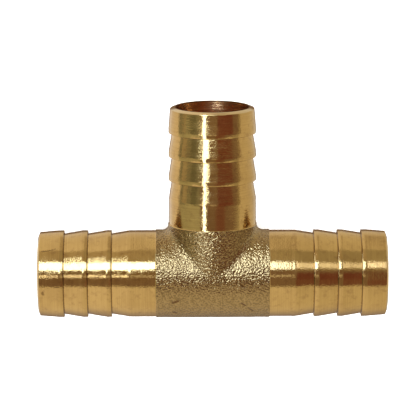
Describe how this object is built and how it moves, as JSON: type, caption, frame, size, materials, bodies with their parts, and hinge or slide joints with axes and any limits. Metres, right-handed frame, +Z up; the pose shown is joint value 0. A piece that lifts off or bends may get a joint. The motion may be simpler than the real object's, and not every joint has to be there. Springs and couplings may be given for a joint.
{
  "type": "hose barb tee",
  "caption": "Brass three-way hose tee: forged body, with a turned barbed tail on each end of the run and on the branch, all bored through.",
  "frame": {"origin": "where the axes of the run and the branch cross, inside the body", "axes": "+X along the run, +Y out along the branch, +Z up when the tee lies flat on its side"},
  "size_m": [0.08, 0.049, 0.0204],
  "materials": {
    "brass": "turned bright on the tails, shot-blasted and dull on the forged body"
  },
  "bodies": {
    "root": {"tee_body": "brass"}
  },
  "joints": []
}
